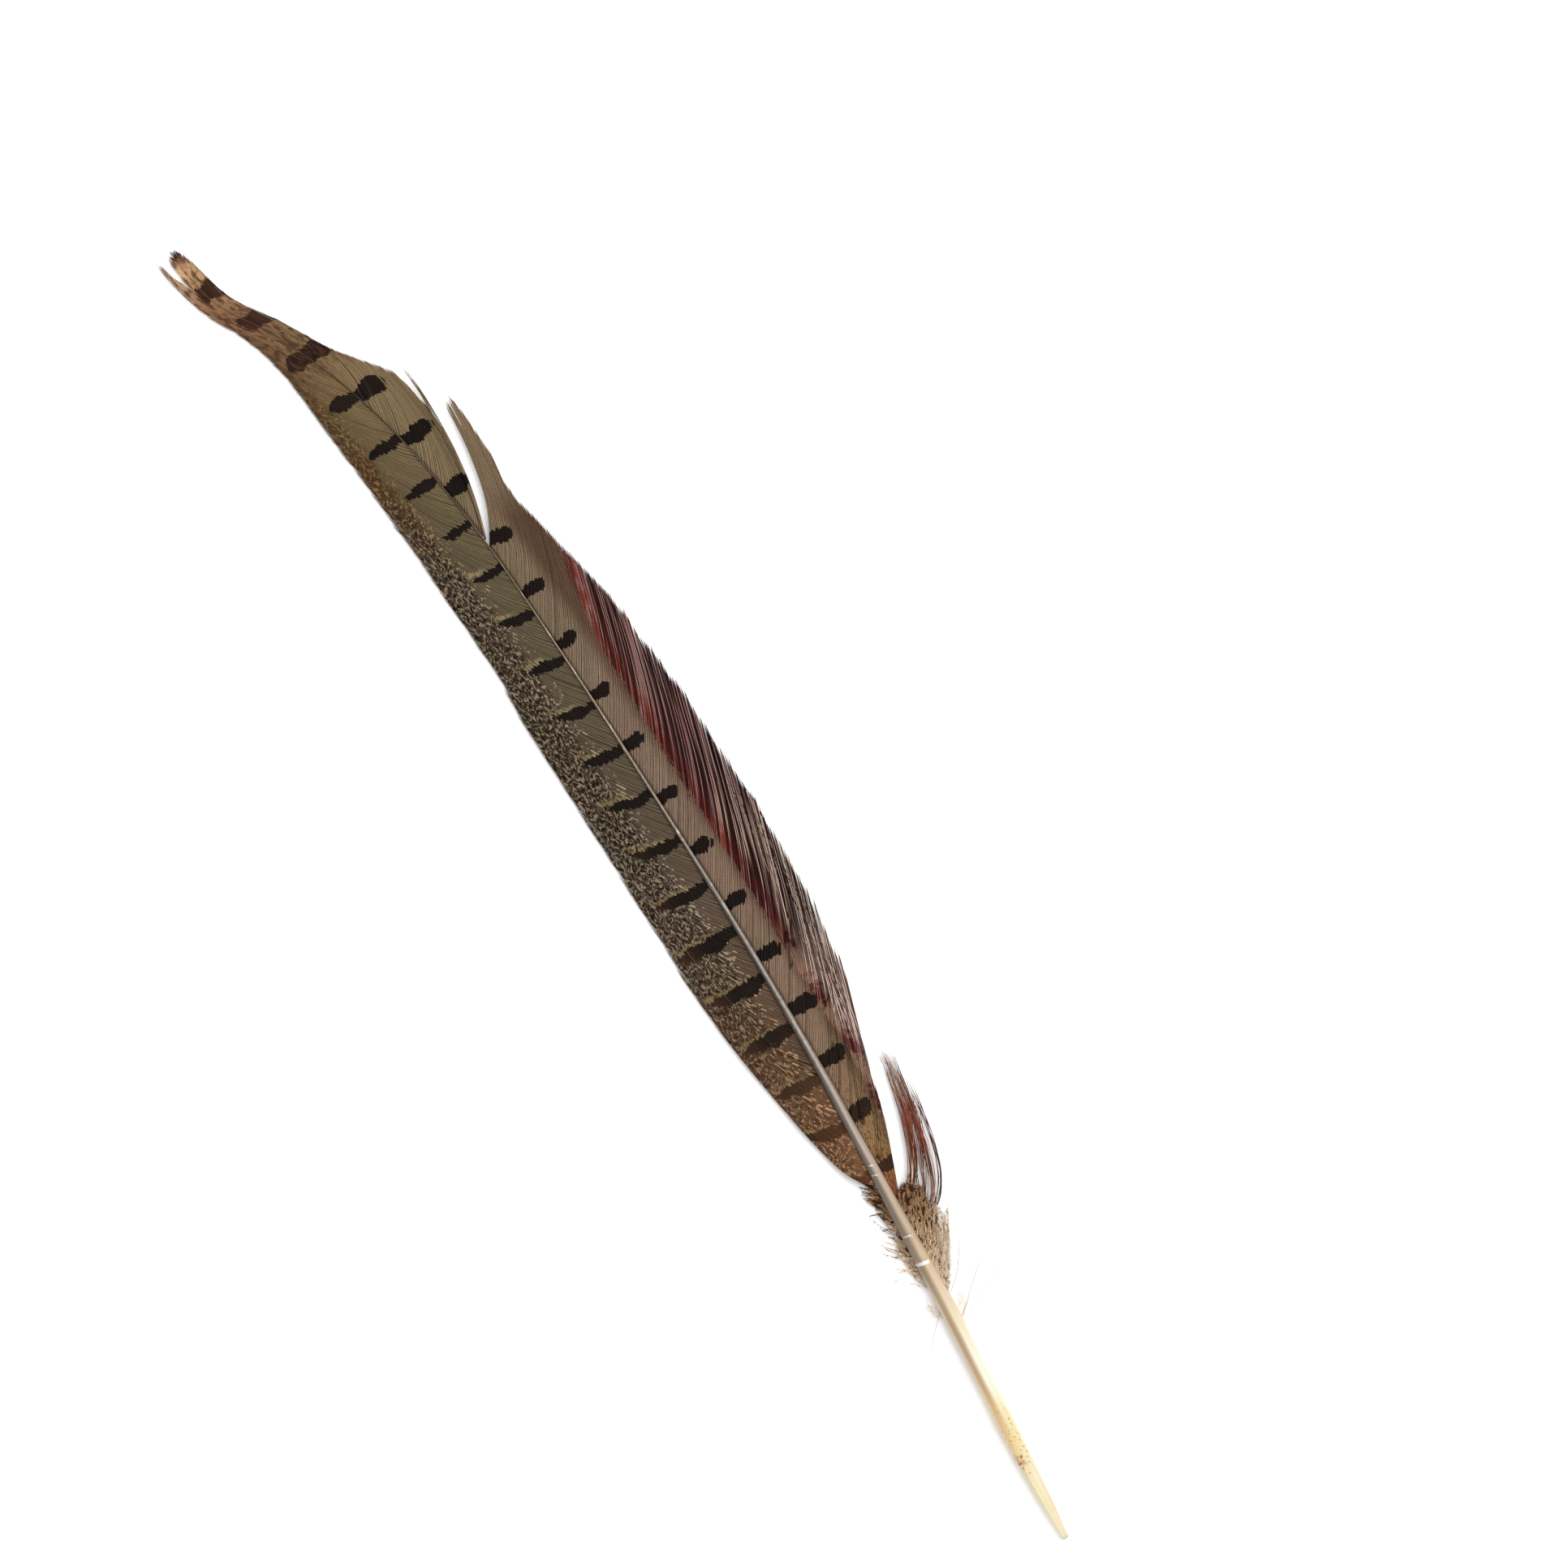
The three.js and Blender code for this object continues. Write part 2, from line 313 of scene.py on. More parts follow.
# -------- webs of barbs
def barb_paths(web, roots, longest, end_y, overshoot):
    """Where barbs run, as out and y (strands, BARB_POINTS), before anything disturbs them."""
    steps = int(longest.max() / PATH_STEP) + 2
    out = np.zeros((len(roots), steps))
    y = np.zeros((len(roots), steps))
    out[:, 0] = at(QUILL_WIDTH, roots) * ROOT_SHARE
    y[:, 0] = roots
    ended = np.full(len(roots), np.nan)
    inner = at(web["inner_angle"], roots)
    for k in range(1, steps):
        out_now, y_now = out[:, k - 1], y[:, k - 1]
        share = smoothstep(0.05, 0.85, out_now / at(web["outline"], y_now))
        outer = np.minimum(inner, at(web["outer_angle"], y_now))
        angle = np.radians(inner + (outer - inner) * share)
        out[:, k] = out_now + np.sin(angle) * PATH_STEP
        y[:, k] = y_now + np.cos(angle) * PATH_STEP
        past = out[:, k] >= at(web["outline"], y[:, k]) * overshoot
        past |= (k * PATH_STEP >= longest) | (y[:, k] > end_y)
        ended = np.where(np.isnan(ended) & past, k, ended)
    ended = np.where(np.isnan(ended), steps - 1, ended)
    place = ended[:, None] * np.linspace(0, 1, BARB_POINTS)[None, :]
    low = np.minimum(place.astype(int), steps - 2)
    part = place - low
    rows = np.arange(len(roots))[:, None]
    return [a[rows, low] * (1 - part) + a[rows, low + 1] * part for a in (out, y)]


def room_between(out, y):
    """How far each barb is from the next one towards the tip, at each of its points."""
    room = np.zeros_like(out)
    for k in range(len(out) - 1):
        next_out = np.interp(y[k], y[k + 1], out[k + 1], left=np.nan, right=np.nan)
        gap = out[k] - next_out
        known = np.flatnonzero(~np.isnan(gap))
        if len(known) == 0:
            gap[:] = LEAST_ROOM
            known = np.arange(len(gap))
        room[k] = np.interp(np.arange(len(gap)), known, gap[known])
    room[-1] = room[-2]
    slope = np.gradient(out, axis=1) / np.gradient(y, axis=1)
    return np.clip(room / np.sqrt(1 + slope**2), LEAST_ROOM, MOST_ROOM)


def split(roots, share, at_root, opening, reach):
    """How far barbs move apart beside a split that opens towards the edge."""
    away = (roots - at_root) / reach
    push = np.sign(away) * np.exp(-np.abs(away))
    return -opening * push[:, None] * share**1.5


def make_web(web):
    """The strands of a web: barbs on their paths, then split, swayed and gathered."""
    draws = np.random.default_rng(web["seed"])
    seed = web["seed"] * 10
    count = int((web["last"] - web["first"]) / BARB_PITCH)
    roots = np.linspace(web["first"], web["last"], count)
    roots = roots + draws.uniform(-ROOT_STRAY, ROOT_STRAY, count)
    jitter = draws.uniform(0, 1, count)
    frays = at(web["fray"], roots) * draws.exponential(1.0, count)
    longest = np.full(count, web["longest"]) - frays
    end_y = at(web["end_y"], roots) - frays
    raggedness = at(RAGGED_EDGE, roots)
    overshoot = 1 + raggedness * draws.normal(0, 1, count)
    overshoot = overshoot + EDGE_STRAY * wander(roots, EDGE_WAVE, seed)
    out, y = barb_paths(web, roots, longest, end_y, overshoot)
    width = at(web["outline"], y)
    share = out / width
    grown = (out.copy(), y.copy())
    loose = smoothstep(0.0, LOOSENING, out - at(web["loose_from"], y))
    out = out + share**2 * SWAY * wander(roots, SWAY_WAVE, seed + 1)[:, None]
    for at_root, opening, reach in web["splits"]:
        out = out + split(roots, share, at_root, opening, reach)
    if "fork" in web:
        at_root, opening, reach, from_y = web["fork"]
        out = out + split(roots, smoothstep(from_y, LENGTH, y), at_root, opening, reach)
    gathered = wander(roots, GATHER_WAVE, seed + 2)[:, None]
    gathered = gathered + 0.5 * wander(roots, FINE_GATHER_WAVE, seed + 3)[:, None]
    bunching = at(web["bunching"], roots)[:, None]
    out = out - loose * bunching * np.abs(gathered)
    out = out - loose**2 * LOOSE_STRAY * draws.uniform(0, 1, count)[:, None]
    y = y + loose**2 * LOOSE_SWAY * wander(roots, LOOSE_WAVE, seed + 4)[:, None]
    lift = loose * draws.uniform(*LOOSE_LIFT, count)[:, None]
    lift = lift + HEIGHT_STRAY * draws.normal(0, 1, count)[:, None] * share
    path = np.stack([centre_x(y) + web["side"] * out, y, web_top(y, width, out) + lift], axis=-1)
    closed = 0.5 * room_between(*grown) * OVERLAP
    along = np.linspace(0, 1, BARB_POINTS)[None, :]
    widening = 0.3 + 2.0 * np.maximum(bunching - 0.3, 0)
    pointed = 1 - 0.85 * smoothstep(0.94, 1.0, along)
    half = closed * (1 + widening * loose) * pointed
    relief = at(RELIEF_SHARE, roots)[:, None]
    height = RIDGE * relief * (1 - 0.5 * along)
    tilt = SHINGLE * relief
    return strands(path, half, height, grown, roots, jitter, web["side"], tilt=tilt)


# -------- loose barbs, down and hairs
LOOSE_PITCH = 1.7  # roots of loose strands, as their material reads them
LEAST_HEIGHT = 0.12
LEAST_FINE_HEIGHT = 0.1


def curves(starts, controls, ends, points):
    """Shares of the way along, and paths (strands, points, 3) bent towards their controls."""
    t = np.linspace(0, 1, points)[None, :, None]
    a, b, c = (place[:, None, :] for place in (starts, controls, ends))
    return t, a * (1 - t) ** 2 + b * 2 * t * (1 - t) + c * t**2


def bunch(count, start, middle, end, scatter, seed, points=18, waves=0.15):
    """Paths of strands from start by middle to end (x, y, z), scattered more and more."""
    draws = np.random.default_rng(seed)
    places = []
    for place, spread in zip((start, middle, end), scatter):
        offsets = draws.normal(0, 1, (count, 3)) * [spread, spread, spread * 0.12]
        places.append(np.array(place) + offsets)
    a, b, c = places
    t, path = curves(a, 2 * b - (a + c) / 2, c, points)
    phase = draws.uniform(0, 6.28, (count, 1, 2))
    swing = np.sin(t * draws.uniform(4, 9, (count, 1, 1)) + phase) * waves * t
    path[..., :2] += swing
    path[..., 2] = np.maximum(path[..., 2], LEAST_HEIGHT)
    return path


def bunch_strands(path, half, side, draws, thickness=0.05):
    """Strands of uneven width on paths, pointed at their ends."""
    count, rings = path.shape[:2]
    along = np.linspace(0, 1, rings)[None, :]
    widths = half * draws.uniform(0.7, 1.3, count)[:, None] * (1 - 0.8 * smoothstep(0.8, 1, along))
    out = np.abs(path[..., 0] - centre_x(path[..., 1]))
    roots = np.arange(count) * LOOSE_PITCH
    jitter = draws.uniform(0, 1, count)
    height = np.minimum(widths, thickness)
    return strands(path, widths, height, (out, path[..., 1]), roots, jitter, side)


def barbules(path, per_side, length, spread, half, side, draws):
    """Fine branches, per_side of them on both sides of each strand, longest near its root."""
    count, rings = path.shape[:2]
    parts = []
    for turn in (-1, 1):
        place = draws.uniform(0.06, 0.98, (count, per_side)) * (rings - 1)
        low = np.minimum(place.astype(int), rings - 2)
        rows = np.arange(count)[:, None]
        step = path[rows, low + 1] - path[rows, low]
        base = path[rows, low] + step * (place - low)[..., None]
        heading = np.arctan2(step[..., 1], step[..., 0]) + turn * np.radians(
            draws.normal(spread, 12, place.shape)
        )
        reach = length * draws.uniform(0.5, 1.2, place.shape) * (1.1 - 0.6 * place / (rings - 1))
        t = np.linspace(0, 1, 4)
        course = heading[..., None] + turn * draws.uniform(-0.5, 0.1, place.shape)[..., None] * t
        rise = np.broadcast_to(draws.uniform(-0.25, 0.25, place.shape)[..., None], course.shape)
        ahead = np.stack([np.cos(course), np.sin(course), rise], axis=-1)
        fine = base[..., None, :] + (reach[..., None] * t)[..., None] * ahead
        fine = fine.reshape(-1, 4, 3)
        fine[..., 2] = np.maximum(fine[..., 2], LEAST_FINE_HEIGHT)
        width = np.broadcast_to(half * np.array([1.0, 0.8, 0.55, 0.2]), fine.shape[:2])
        out = np.abs(fine[..., 0] - centre_x(fine[..., 1]))
        roots = np.repeat(np.arange(count) * LOOSE_PITCH, per_side)
        jitter = draws.uniform(0, 1, len(fine))
        parts.append(
            strands(fine, width, width, (out, fine[..., 1]), roots, jitter, side, FIBRE_SECTION)
        )
    return parts


# -------- materials
def colour(hexed):
    """Linear colour of an sRGB hex number, with alpha 1."""
    parts = [(hexed >> shift & 255) / 255 for shift in (16, 8, 0)]
    linear = [p / 12.92 if p <= 0.04045 else ((p + 0.055) / 1.055) ** 2.4 for p in parts]
    return (*linear, 1.0)


class Field:
    """A number or colour at each point of a surface, so that a pattern reads as a sum."""

    def __init__(self, tree, socket):
        self.tree, self.socket = tree, socket

    def node(self, kind, *values, **settings):
        """A new node with these settings, fed with these values or fields."""
        made = self.tree.nodes.new(kind)
        for name, value in settings.items():
            setattr(made, name, value)
        for socket, value in zip(made.inputs, values):
            self.feed(socket, value)
        return made

    def feed(self, socket, value):
        if isinstance(value, Field):
            self.tree.links.new(value.socket, socket)
        else:
            socket.default_value = value

    def result(self, kind, *values, **settings):
        return Field(self.tree, self.node(kind, *values, **settings).outputs[0])

    def math(self, operation, *others):
        return self.result("ShaderNodeMath", self, *others, operation=operation)

    def __add__(self, other):
        return self.math("ADD", other)

    def __sub__(self, other):
        return self.math("SUBTRACT", other)

    def __mul__(self, other):
        return self.math("MULTIPLY", other)

    def __truediv__(self, other):
        return self.math("DIVIDE", other)

    def size(self):
        return self.math("ABSOLUTE")

    def either(self, other):
        return self.math("MAXIMUM", other)

    def times(self, other):
        """Product of two colours, or of a colour and a number."""
        return self.result("ShaderNodeVectorMath", self, other, operation="MULTIPLY")

    def between(self, low, high):
        """0 below low and 1 above high, smooth in between, or the other way round."""
        return self.result("ShaderNodeMapRange", self, low, high, interpolation_type="SMOOTHSTEP")

    def table(self, points):
        """Value of a table at this number, by straight lines."""
        first, last = points[0][0], points[-1][0]
        values = [value for _, value in points]
        low, high = min(values), max(values)
        span = high - low
        share = (self - first) / (last - first)
        stops = [((y - first) / (last - first), (value - low) / span) for y, value in points]
        return share.ramp([(place, (grey, grey, grey, 1)) for place, grey in stops]) * span + low

    def ramp(self, stops):
        """Colour by this number, from stops of (place, colour)."""
        made = self.node("ShaderNodeValToRGB", self)
        elements = made.color_ramp.elements
        while len(elements) < len(stops):
            elements.new(0.5)
        for element, (place, _) in zip(elements, stops):
            element.position = place
        for element, (_, tint) in zip(elements, stops):
            element.color = tint
        return Field(self.tree, made.outputs[0])

    def tints(self, points):
        """Colour by y, from a table of (y, hex colour)."""
        return (self / LENGTH).ramp([(y / LENGTH, colour(tint)) for y, tint in points])

    def mix(self, low, high):
        """low where this number is 0, and high where it is 1."""
        made = self.node("ShaderNodeMix", self, data_type="RGBA")
        self.feed(made.inputs[6], low)
        self.feed(made.inputs[7], high)
        return Field(self.tree, made.outputs[2])

    def noise(self, second, third, detail=2.0, roughness=0.5):
        """Noise from about 0.2 to 0.8 over three numbers."""
        made = self.node("ShaderNodeTexNoise", self.result("ShaderNodeCombineXYZ", self, second, third))
        made.inputs["Scale"].default_value = 1.0
        made.inputs["Detail"].default_value = detail
        made.inputs["Roughness"].default_value = roughness
        return Field(self.tree, made.outputs[0])


class Finish:
    """A material whose colour, roughness and relief come from fields."""

    def __init__(self, name, specular):
        self.material = bpy.data.materials.new(name)
        self.material.use_nodes = True
        self.tree = self.material.node_tree
        self.shader = self.tree.nodes["Principled BSDF"]
        self.shader.inputs["Specular IOR Level"].default_value = specular

    def attribute(self, name):
        """The three numbers of a mesh attribute."""
        read = self.tree.nodes.new("ShaderNodeAttribute")
        read.attribute_name = name
        parts = self.tree.nodes.new("ShaderNodeSeparateXYZ")
        self.tree.links.new(read.outputs["Vector"], parts.inputs[0])
        return [Field(self.tree, output) for output in parts.outputs]

    def reads(self):
        """The six numbers that a strand's surface comes with."""
        return [*self.attribute("grow"), *self.attribute("strand")]

    def constant(self, value):
        """The same number everywhere."""
        made = self.tree.nodes.new("ShaderNodeValue")
        made.outputs[0].default_value = value
        return Field(self.tree, made.outputs[0])

    def wear(self, tint, roughness, relief, depth):
        """Joins colour, roughness and relief, depth in metres, to the shader."""
        bump = self.tree.nodes.new("ShaderNodeBump")
        bump.inputs["Distance"].default_value = depth
        self.tree.links.new(relief.socket, bump.inputs["Height"])
        self.tree.links.new(bump.outputs[0], self.shader.inputs["Normal"])
        self.tree.links.new(tint.socket, self.shader.inputs["Base Color"])
        self.tree.links.new(roughness.socket, self.shader.inputs["Roughness"])
        return self.material


BAR_SPACING = 10.3
LEAN_SCALE = 8.0  # a bar slants by its lean times the square of out, over this
TIP_BAR_HALF = 1.6
# Bars by y: count numbers them, lean is how far they slant towards the tip, reach how far out
# they go, half their half width, and profile how much of that they have along their reach.
LEFT_BARS = dict(
    count=[(71, -1.2), (83, 0), (123.4, 4), (171, 9), (230.1, 15), (251.8, 17), (262.8, 18),
           (271.5, 19), (281, 20)],
    lean=[(71, 0.35), (84, 0.35), (95, 0.12), (110, 0.07), (124, 0.07), (135, 0.12), (150, 0.24),
          (195, 0.26), (212, 0.1), (232, 0), (281, 0)],
    half=[(71, 1.2), (90, 1.4), (118, 1.5), (135, 1.3), (150, 1.2), (180, 1.15), (193, 1.05),
          (202, 0.9), (212, 0.85), (220, 1.15), (232, 1.2), (241, 1.4), (252, 1.5), (262.8, 2.1),
          (271.5, 2.3), (281, 1.5)],
    profile=[(0, 0.66), (0.2, 0.84), (0.42, 1.0), (0.65, 0.9), (0.85, 0.62), (1.0, 0.0)],
    reach=[(71, 8.5), (94, 9.6), (104, 10.8), (114, 11.4), (124, 12.6), (133, 11.6), (143, 9.4),
           (165, 7.8), (190, 6.9), (205, 5.6), (220, 6.9), (232, 6.9), (241, 5.6), (252, 4.4),
           (258, 2.6), (262.8, 1.7), (271.5, 1.3), (281, 0.9)],
)
RIGHT_BARS = dict(
    count=[(66, -0.7), (73.2, 0), (105.6, 3), (161.4, 8), (205.4, 12), (229.1, 14), (251.8, 16),
           (262.6, 17), (271.5, 18), (281, 19)],
    lean=[(66, 0.0), (200, 0.0), (240, 0.05), (281, 0.1)],
    half=[(66, 1.1), (75, 1.25), (83, 1.6), (94, 1.5), (105, 1.55), (118, 1.35), (130, 1.2),
          (180, 1.15), (210, 1.3), (229, 1.45), (241, 1.6), (252, 1.75), (262, 2.0), (271, 2.3),
          (281, 1.5)],
    profile=[(0, 0.66), (0.2, 0.78), (0.5, 1.0), (0.8, 0.95), (0.92, 0.7), (1.0, 0.0)],
    reach=[(66, 3.4), (75, 4.8), (84, 5.5), (94, 6.2), (105, 5.8), (116, 5.0), (140, 4.5),
           (160, 4.3), (180, 3.9), (195, 4.8), (205, 5.0), (217, 4.8), (229, 6.2), (241, 5.6),
           (252, 4.2), (281, 3.6)],
)

# Colours by y; dark and buff are those of the left web's mottle.
LEFT_GROUND = [
    (72, 0x78523B), (86, 0x664632), (98, 0x4E392B), (108, 0x523E30), (130, 0x4E3F32),
    (166, 0x4C4132), (205, 0x514532), (236, 0x5E4C34), (250, 0x664E36), (258, 0x6E5238),
    (266, 0x7E5C42), (273, 0xB08662), (277.5, 0xC69C76), (279.3, 0xB08466), (281, 0xAA7E60),
]
LEFT_DARK = [
    (72, 0x5E3D29), (100, 0x493022), (115, 0x35251B), (150, 0x211712), (205, 0x271B14),
    (222, 0x46301F), (245, 0x583E2A), (281, 0x624734),
]
LEFT_BUFF = [
    (72, 0xAC8462), (105, 0x94795F), (130, 0x998773), (205, 0x97866C), (225, 0x8A7048),
    (281, 0x8E6E4E),
]
RIGHT_GROUND = [
    (66, 0x754428), (70, 0x7C4C2C), (75, 0x7C5C3A), (82, 0x785E40), (98, 0x725A49),
    (166, 0x6A5647), (205, 0x685642), (230, 0x6E5B42), (246, 0x786044), (258, 0x765A40),
    (266, 0x8E6C4E), (273, 0xB88E6A), (276.5, 0xCAA07A), (278.5, 0xB08468), (281, 0xAA7E62),
]
RIGHT_BAR_TINT = [
    (66, 0x3A271B), (90, 0x201612), (118, 0x18110F), (235, 0x18110E), (252, 0x281A14),
    (262, 0x3C281E), (281, 0x44291F),
]
LEFT_BAR_TINT = [
    (70, 0x573824), (88, 0x4A311F), (97, 0x33231A), (104, 0x201711), (115, 0x19130F),
    (235, 0x18110E), (252, 0x281A14), (262, 0x3C241D), (281, 0x44291F),
]
# What multiplies colours: a barb's sides, dark for its barbules and for painted shade between barbs,
# its ridge, a surface without barbs, and two casts.
SIDE_SHADE = (0.34, 0.28, 0.24, 1)
RIDGE_SHADE = (1.83, 2.0, 2.16, 1)
EVEN_SHADE = (1, 1, 1, 1)
OLIVE_CAST = (0.97, 1.0, 0.93, 1)
ROSY_CAST = (1.04, 0.99, 0.99, 1)
# Waves along a barb, in radians per millimetre.
BEAD_WAVE = 16.5
BARBULE_WAVE = 52.0
# Depths of relief, in metres.
WEB_RELIEF = 0.00002
HORN_RELIEF = 0.00008


def bar_distance(out, y, jitter, bars):
    """Signed distance along the feather to the nearest bar, a little off barb by barb."""
    wave = (out * 0.4).noise(y * 0.16, 3.0) - 0.5
    place = y + wave * 1.8 + (jitter - 0.5) * 0.5 - out * out * y.table(bars["lean"]) / LEAN_SCALE
    return ((place.table(bars["count"]) + 0.5).math("FRACT") - 0.5) * BAR_SPACING


def bar_mask(distance, out, y, jitter, bars):
    """1 on a bar, 0 off it. Near the tip bars are wider and less pointed."""
    reach = y.table(bars["reach"]) + (jitter - 0.5) * 0.8
    half = (out / reach).table(bars["profile"]) * y.table(bars["half"])
    half = half.either((out / reach).between(1.1, 0.5) * y.between(240, 252) * TIP_BAR_HALF)
    half = half * ((y * 0.11).noise(out * 0.3, 9.0) * 0.8 + 0.6)
    return (distance.size() - half).between(0.12, -0.06) * (reach - out).between(-0.05, 0.2)


def barb_shade(strand, root, across, jitter, evenness):
    """What multiplies a web's colour: pale ridges and dark sides, from the barbules' darker colour and
    painted shade between barbs, unless evenness hides them.
    """
    ridge = across.size().between(0.95, 0.2)
    stripes = (evenness * 0.75).mix(ridge.mix(SIDE_SHADE, RIDGE_SHADE), EVEN_SHADE)
    grain = (strand * 0.6).noise(root * 3.0, 7.0) * 0.6 + 0.7
    # A few barbs darker: painted shadow of hairline splits.
    painted_split_shadow = jitter.between(0.0, 0.05).either(evenness) * 0.4 + 0.6
    # Painted light: a barb's edges lighter where evenness is above 1, against the shade on them.
    lift = across.size().between(0.4, 1.0) * evenness.between(0.95, 1.3) * 0.7 + 1.0
    beads = (strand * BEAD_WAVE + root * 2.1).math("SINE") * 0.18 + 1.0
    return stripes.times(grain * painted_split_shadow * beads * lift * ((jitter - 0.5) * 0.25 + 1.0))


def barbule_relief(strand, across, jitter):
    """Fine ribs across a barb."""
    return (strand * BARBULE_WAVE + across * 2.0 + jitter * 6.0).math("SINE") * 0.5 + 0.5


def finish_web(finish, ground, shade):
    """A web of this colour, worn and patchy near the tip, with a cast that changes along it, and
    painted shade in the grooves of its ribs.
    """
    out, y, jitter, strand, root, across = finish.reads()
    worn = (root * 1.9).noise(strand * 0.12, 21.0, 3.0, 0.7) * 1.7 + 0.1
    ground = ground.times((worn - 1.0) * y.between(240, 262) + 1.0)
    patch = (y * 0.5).noise(out * 1.3, 33.0, 3.0, 0.65).between(0.48, 0.58) * y.between(242, 254)
    ground = (patch * 0.75).mix(ground, colour(0x452B1D))
    cast = (y * 0.09).noise(out * 0.25, 31.0, 1.0).between(0.35, 0.65).either(y.between(84, 68))
    ground = ground.times(cast.mix(OLIVE_CAST, ROSY_CAST))
    relief = barbule_relief(strand, across, jitter)
    roughness = (strand * 0.8).noise(jitter * 9.0, 4.0) * 0.3 + 0.6
    # The ribs' grooves are darker: painted shade.
    tint = ground.times(shade).times(relief * 0.16 + 0.86)
    return finish.wear(tint, roughness, relief, WEB_RELIEF)


def left_web_material():
    """Bars on a plain ground by the shaft, and wavy light marks on dark from start outwards."""
    finish = Finish("left_web", 0.05)
    out, y, jitter, strand, root, across = finish.reads()
    # The marks follow the barbs near the shaft and the edge further out.
    swirl = (out * 0.5).noise(y * 0.35, 5.0, 1.0) - 0.5
    curl = (out * 1.3).noise(y * 0.9, 15.0, 1.0) - 0.5
    along_barb = (strand * 0.75 + swirl * 2.0).noise(root * 1.5, 1.0, 1.0)
    along_edge = (y * 1.25 + jitter * 0.2 + swirl * 3.0).noise(
        out * 2.9 + swirl * 3.0 + curl * 3.4, 6.0, 2.0, 0.45
    )
    turn_out = y.table([(71, 2), (84, 3), (96, 7), (135, 5.5), (205, 5.5), (281, 4)])
    worm = (out - turn_out).between(-1.2, 1.2) * (along_edge - along_barb) + along_barb
    start = y.table([
        (71, 0.8), (90, 2.2), (98, 3.2), (108, 3.0), (122, 3.6), (135, 4.8), (165, 5.2),
        (190, 5.4), (206, 6.4), (220, 6.7), (232, 6.2), (245, 4.6), (281, 3.4),
    ])
    patches = (y * 0.5).noise(out * 0.9, 1.0)
    mottled = (out + (patches - 0.5) * 5.0 + (worm - 0.5) * 7.0 - start).between(-0.4, 0.8)
    flecks = worm.between(0.54, 0.6)
    middling = worm.between(0.4, 0.54)
    dark = y.tints(LEFT_DARK)
    buff = y.tints(LEFT_BUFF)
    mottle = (flecks * y.between(254, 238)).mix((middling * 0.25).mix(dark, buff), buff)
    ground = mottled.mix(y.tints(LEFT_GROUND), mottle)
    distance = bar_distance(out, y, jitter, LEFT_BARS)
    # Light margins beside the bars, then the bars.
    margin = distance.between(0.8, 1.1) * distance.between(2.2, 1.5) * out.between(2.0, 5.0)
    margin = margin * (worm + 0.06).between(0.44, 0.54) * y.between(212, 202)
    margin = margin * (y.table(LEFT_BARS["reach"]) + 0.8 - out).between(0.0, 0.8)
    ground = (margin * 0.75).mix(ground, colour(0x8C7854))
    bars = bar_mask(distance, out, y, jitter, LEFT_BARS)
    bars = bars * (y.between(96, 108).either((worm + 0.2).between(0.4, 0.58)))
    faded = (out / y.table(LEFT_BARS["reach"])).between(0.5, 1.0) * y.between(158, 125)
    ground = bars.mix(ground, (faded * 0.85).mix(y.tints(LEFT_BAR_TINT), colour(0x3C291D)))
    matted = (mottled * (bars * -1.0 + 1.0)).either(y.between(98, 78) * 1.3)
    matted = matted.either(y.between(262, 272) * 0.7)
    shade = barb_shade(strand, root, across, jitter, matted)
    return finish_web(finish, ground, shade)


def right_web_material():
    """Bars on a specked ground by the shaft, and a maroon and tan fringe from start outwards."""
    finish = Finish("right_web", 0.05)
    out, y, jitter, strand, root, across = finish.reads()
    fleck = ((y + jitter * 0.7) * 1.1).noise(out * 2.2, 1.0, 2.0, 0.55)
    specks = fleck.between(0.53, 0.6) * (y.between(98, 80) * 0.8).either(y.between(255, 268) * 0.35)
    ground = specks.mix(y.tints(RIGHT_GROUND), colour(0x4E3523))
    outer = (out - 3.6).between(0.0, 3.0) * y.between(215, 205)
    ground = (outer * 0.9).mix(ground, colour(0x4C3528))
    distance = bar_distance(out, y, jitter, RIGHT_BARS)
    start = y.table([
        (66, 4.8), (94, 6.0), (104, 5.3), (140, 5.3), (165, 5.6), (180, 6.4), (192, 8.6),
        (200, 10.5), (206, 14), (281, 20),
    ])
    past = out + (fleck - 0.5) * 2.2 - start
    cloud = (y * 0.7).noise(out * 0.7, 17.0, 3.0, 0.6) - 0.5
    beside_bar = (distance.size() + cloud * 9.0).between(3.6, 0.8)
    fringe = past.between(-0.1, 0.7) * y.between(74, 82)
    band = (out - start).between(3.4, 1.2) * (strand * 0.3).noise(root * 0.5, 2.0).between(0.3, 0.6)
    streak = ((root * 1.3).noise(strand * 0.03, 12.0, 1.0) + jitter * 0.16 - 0.08).between(0.45, 0.62)
    pale = y.between(150, 128) * (out - start).between(1.8, 3.6)
    outside = streak.mix(colour(0x210E0D), colour(0x785650))
    outside = (pale * streak).mix(outside, colour(0xA48B78))
    maroon = band.mix(outside, streak.mix(colour(0x38120F), colour(0x662C23)))
    tan = past.between(0.5, 3.0).mix(colour(0x7C5A4A), streak.mix(colour(0x513B31), colour(0xB0968A)))
    # The fringe is maroon throughout from y 122 on, and below that only beside the bars.
    red_here = y.between(110, 122).either(beside_bar * (past + cloud * 4.0).between(3.8, 1.6))
    ground = fringe.mix(ground, red_here.mix(tan, maroon))
    bars = bar_mask(distance, out, y, jitter, RIGHT_BARS)
    ground = bars.mix(ground, y.tints(RIGHT_BAR_TINT))
    shade = barb_shade(strand, root, across, jitter, y.between(262, 272) * 0.7)
    # Painted shade: each barb darker over its first millimetre beside the shaft, up to about y 235.
    shade = shade.times(strand.between(1.0, 0.5) * y.between(235, 215) * -0.35 + 1.0)
    return finish_web(finish, ground, shade)


